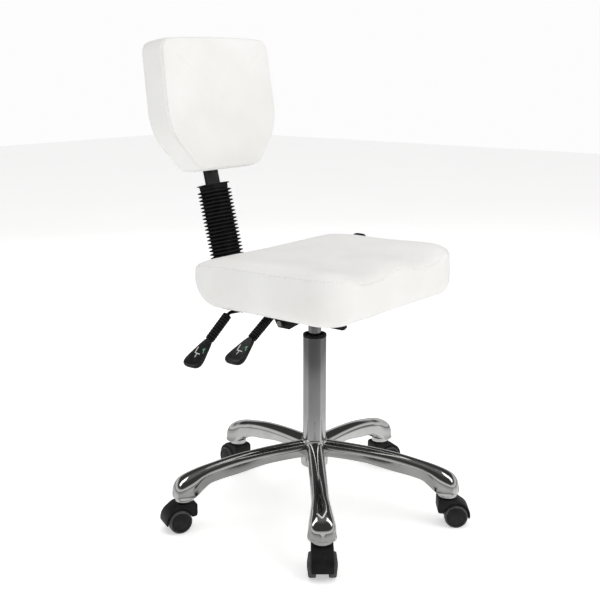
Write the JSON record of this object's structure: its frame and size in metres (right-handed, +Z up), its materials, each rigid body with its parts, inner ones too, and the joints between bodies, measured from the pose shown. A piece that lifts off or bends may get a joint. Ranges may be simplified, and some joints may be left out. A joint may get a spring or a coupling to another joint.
{
  "type": "pedicure stool",
  "caption": "Swivel stool on a star base with casters, a gas lift, three levers, a padded seat and a padded backrest on a telescoping upright.",
  "frame": {"origin": "on the gas lift's axis at floor level", "axes": "+Z up; the sitter faces -Y; +X is the sitter's left"},
  "size_m": [0.6536, 0.6644, 1.0228],
  "materials": {
    "polished_aluminium": "polished",
    "chrome_plate": "polished",
    "bright_steel": "polished",
    "zinc_steel": "satin",
    "black_nylon": "satin",
    "caster_wheel": "satin",
    "black_steel": "satin",
    "black_rubber": "matte",
    "black_plastic": "gloss",
    "white_leatherette": "satin",
    "plywood": "matte",
    "black_cloth": "matte"
  },
  "bodies": {
    "base": {"star_base": "polished_aluminium", "caster_stems": "zinc_steel", "outer_tube": "chrome_plate", "guide_bushing": "black_nylon", "thrust_bearing": "zinc_steel"},
    "lift_rod": {"piston_rod": "bright_steel", "rod_clip": "zinc_steel", "rubber_buffer": "black_rubber"},
    "mechanism": {"gas_cylinder": "bright_steel", "mechanism_housing": "black_steel", "taper_socket": "zinc_steel", "seat_pivot_shaft": "zinc_steel", "back_pivot_shaft": "zinc_steel", "clamp_bolts": "zinc_steel", "lever_pins": "zinc_steel"},
    "valve": {"valve_pin": "zinc_steel"},
    "lift_lever": {"lift_lever_rod": "black_steel", "lift_lever_sleeve": "black_rubber", "lift_lever_paddle": "black_plastic"},
    "back_lock_lever": {"back_lock_lever_rod": "black_steel", "back_lock_lever_sleeve": "black_rubber", "back_lock_lever_paddle": "black_plastic"},
    "seat_lock_lever": {"seat_lock_lever_rod": "black_steel", "seat_lock_lever_sleeve": "black_rubber", "seat_lock_lever_paddle": "black_plastic"},
    "seat": {"seat_plate": "black_steel", "seat_lock_link": "black_steel", "seat_rails": "black_steel", "seat_cushion": "white_leatherette", "seat_board": "plywood", "seat_undercloth": "black_cloth", "seat_bolts": "zinc_steel"},
    "back": {"back_arm": "black_steel", "back_lock_link": "black_steel", "upright_guide": "black_steel", "upright_bellows": "black_rubber"},
    "backrest": {"back_upright": "black_steel", "back_cushion": "white_leatherette", "back_board": "plywood", "back_bolts": "zinc_steel"},
    "caster_1": {"caster_1_hood": "black_nylon", "caster_1_axle": "zinc_steel"},
    "caster_1_left": {"caster_1_wheel_left": "caster_wheel"},
    "caster_1_right": {"caster_1_wheel_right": "caster_wheel"},
    "caster_2": {"caster_2_hood": "black_nylon", "caster_2_axle": "zinc_steel"},
    "caster_2_left": {"caster_2_wheel_left": "caster_wheel"},
    "caster_2_right": {"caster_2_wheel_right": "caster_wheel"},
    "caster_3": {"caster_3_hood": "black_nylon", "caster_3_axle": "zinc_steel"},
    "caster_3_left": {"caster_3_wheel_left": "caster_wheel"},
    "caster_3_right": {"caster_3_wheel_right": "caster_wheel"},
    "caster_4": {"caster_4_hood": "black_nylon", "caster_4_axle": "zinc_steel"},
    "caster_4_left": {"caster_4_wheel_left": "caster_wheel"},
    "caster_4_right": {"caster_4_wheel_right": "caster_wheel"},
    "caster_5": {"caster_5_hood": "black_nylon", "caster_5_axle": "zinc_steel"},
    "caster_5_left": {"caster_5_wheel_left": "caster_wheel"},
    "caster_5_right": {"caster_5_wheel_right": "caster_wheel"}
  },
  "joints": [
    {"name": "seat_swivel", "type": "hinge", "parent": "base", "child": "lift_rod", "pos_m": [0, 0, 0.1], "axis": [0, 0, 1], "continuous": true},
    {"name": "seat_lift", "type": "slide", "parent": "lift_rod", "child": "mechanism", "axis": [0, 0, 1], "range_m": [0, 0.18]},
    {"name": "lift_lever_hinge", "type": "hinge", "parent": "mechanism", "child": "lift_lever", "pos_m": [-0.072, 0, 0.463], "axis": [0, 1, 0], "range_deg": [0, 3.2], "stiffness_Nm_per_rad": 4, "springref_deg": -3.44},
    {"name": "valve_slide", "type": "slide", "parent": "mechanism", "child": "valve", "axis": [0, 0, 1], "range_m": [-0.0045, 0]},
    {"name": "back_lock_lever_hinge", "type": "hinge", "parent": "mechanism", "child": "back_lock_lever", "pos_m": [-0.072, 0.084, 0.463], "axis": [0, 1, 0], "range_deg": [-12, 0]},
    {"name": "seat_lock_lever_hinge", "type": "hinge", "parent": "mechanism", "child": "seat_lock_lever", "pos_m": [0.072, 0.105, 0.463], "axis": [0, 1, 0], "range_deg": [0, 12]},
    {"name": "seat_tilt", "type": "hinge", "parent": "mechanism", "child": "seat", "pos_m": [0, -0.095, 0.462], "axis": [1, 0, 0], "range_deg": [0, 8]},
    {"name": "back_tilt", "type": "hinge", "parent": "mechanism", "child": "back", "pos_m": [0, 0.044, 0.43], "axis": [1, 0, 0], "range_deg": [-12, 10]},
    {"name": "back_height", "type": "slide", "parent": "back", "child": "backrest", "axis": [0, 0.2436, 0.9699], "range_m": [0, 0.06], "deforming": ["upright_bellows"]},
    {"name": "caster_1_swivel", "type": "hinge", "parent": "base", "child": "caster_1", "pos_m": [-0.22434, -0.1931, 0.062], "axis": [0, 0, 1], "continuous": true},
    {"name": "caster_1_spin_left", "type": "hinge", "parent": "caster_1", "child": "caster_1_left", "pos_m": [-0.23755, -0.2038, 0.025], "axis": [0.6293, -0.7771, 0], "continuous": true},
    {"name": "caster_1_spin_right", "type": "hinge", "parent": "caster_1", "child": "caster_1_right", "pos_m": [-0.23755, -0.2038, 0.025], "axis": [0.6293, -0.7771, 0], "continuous": true},
    {"name": "caster_2_swivel", "type": "hinge", "parent": "base", "child": "caster_2", "pos_m": [0.11432, -0.27303, 0.062], "axis": [0, 0, 1], "continuous": true},
    {"name": "caster_2_spin_left", "type": "hinge", "parent": "caster_2", "child": "caster_2_left", "pos_m": [0.12479, -0.28643, 0.025], "axis": [0.788, 0.6157, 0], "continuous": true},
    {"name": "caster_2_spin_right", "type": "hinge", "parent": "caster_2", "child": "caster_2_right", "pos_m": [0.12479, -0.28643, 0.025], "axis": [0.788, 0.6157, 0], "continuous": true},
    {"name": "caster_3_swivel", "type": "hinge", "parent": "base", "child": "caster_3", "pos_m": [0.295, 0.02436, 0.062], "axis": [0, 0, 1], "continuous": true},
    {"name": "caster_3_spin_left", "type": "hinge", "parent": "caster_3", "child": "caster_3_left", "pos_m": [0.3104, 0.01717, 0.025], "axis": [0.4226, 0.9063, 0], "continuous": true},
    {"name": "caster_3_spin_right", "type": "hinge", "parent": "caster_3", "child": "caster_3_right", "pos_m": [0.3104, 0.01717, 0.025], "axis": [0.4226, 0.9063, 0], "continuous": true},
    {"name": "caster_4_swivel", "type": "hinge", "parent": "base", "child": "caster_4", "pos_m": [0.06799, 0.28808, 0.062], "axis": [0, 0, 1], "continuous": true},
    {"name": "caster_4_spin_left", "type": "hinge", "parent": "caster_4", "child": "caster_4_left", "pos_m": [0.07211, 0.30458, 0.025], "axis": [-0.9703, 0.2419, 0], "continuous": true},
    {"name": "caster_4_spin_right", "type": "hinge", "parent": "caster_4", "child": "caster_4_right", "pos_m": [0.07211, 0.30458, 0.025], "axis": [-0.9703, 0.2419, 0], "continuous": true},
    {"name": "caster_5_swivel", "type": "hinge", "parent": "base", "child": "caster_5", "pos_m": [-0.25297, 0.15369, 0.062], "axis": [0, 0, 1], "continuous": true},
    {"name": "caster_5_spin_left", "type": "hinge", "parent": "caster_5", "child": "caster_5_left", "pos_m": [-0.26838, 0.16087, 0.025], "axis": [-0.4226, -0.9063, 0], "continuous": true},
    {"name": "caster_5_spin_right", "type": "hinge", "parent": "caster_5", "child": "caster_5_right", "pos_m": [-0.26838, 0.16087, 0.025], "axis": [-0.4226, -0.9063, 0], "continuous": true}
  ],
  "couplings": [
    {"joint": "valve_slide", "follows": "lift_lever_hinge", "m_per_rad": -0.072}
  ]
}
